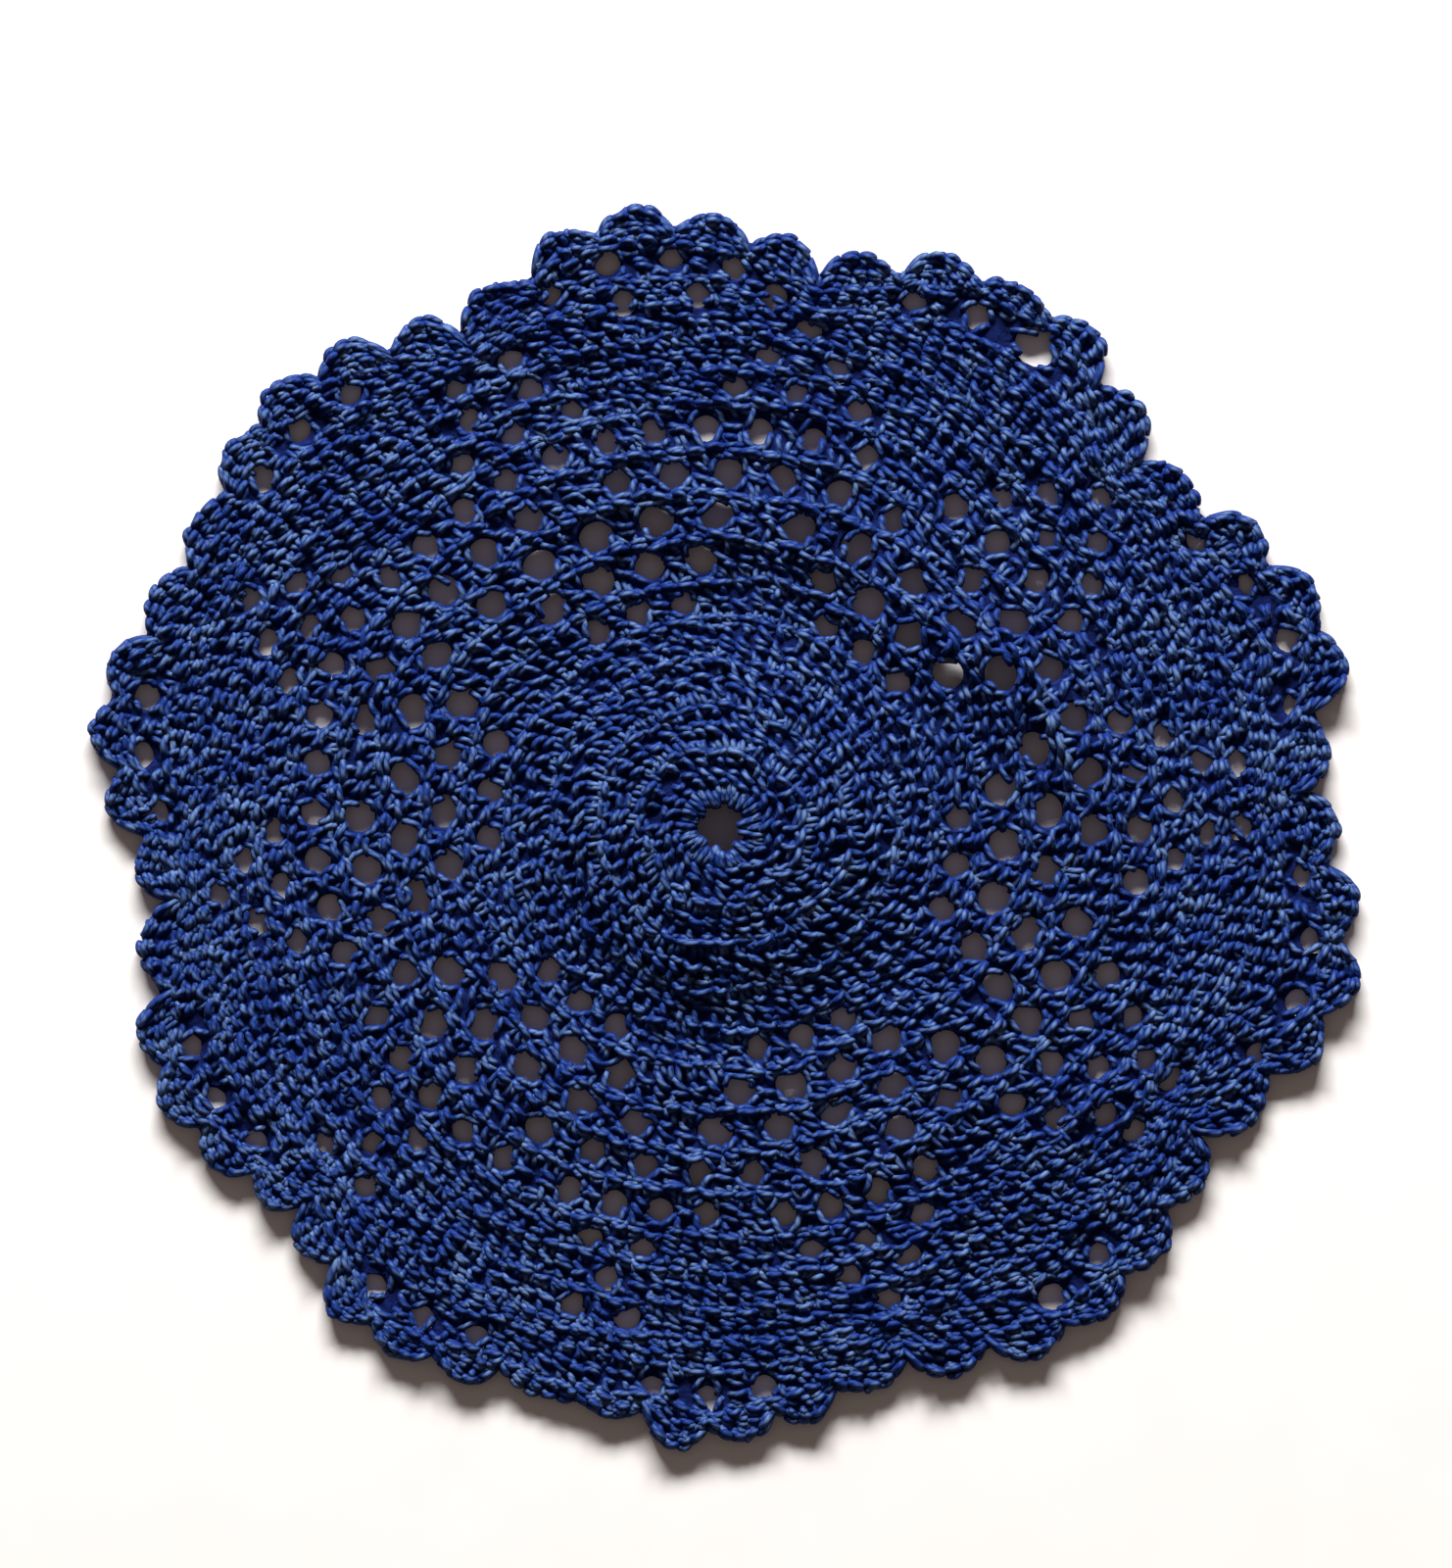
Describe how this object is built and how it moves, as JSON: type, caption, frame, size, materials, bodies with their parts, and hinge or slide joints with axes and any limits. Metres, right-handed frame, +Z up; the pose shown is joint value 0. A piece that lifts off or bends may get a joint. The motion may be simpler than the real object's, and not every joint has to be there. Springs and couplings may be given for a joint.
{
  "type": "lace doily",
  "caption": "Round crocheted cotton doily: a solid domed centre, a star of eyelets, an open net with solid leaves, and a lobed edge of small scallops.",
  "frame": {"origin": "under the middle of the doily's outline, on the surface that it lies on", "axes": "+Z up, out of the right side of the work; +Y towards the top of the picture, +X to its right"},
  "size_m": [0.2198, 0.2154, 0.0063],
  "materials": {
    "blue_cotton": "tightly twisted cotton crochet yarn with a soft sheen, navy in its shade and royal blue in the light"
  },
  "bodies": {
    "root": {"doily": "blue_cotton"}
  },
  "joints": []
}
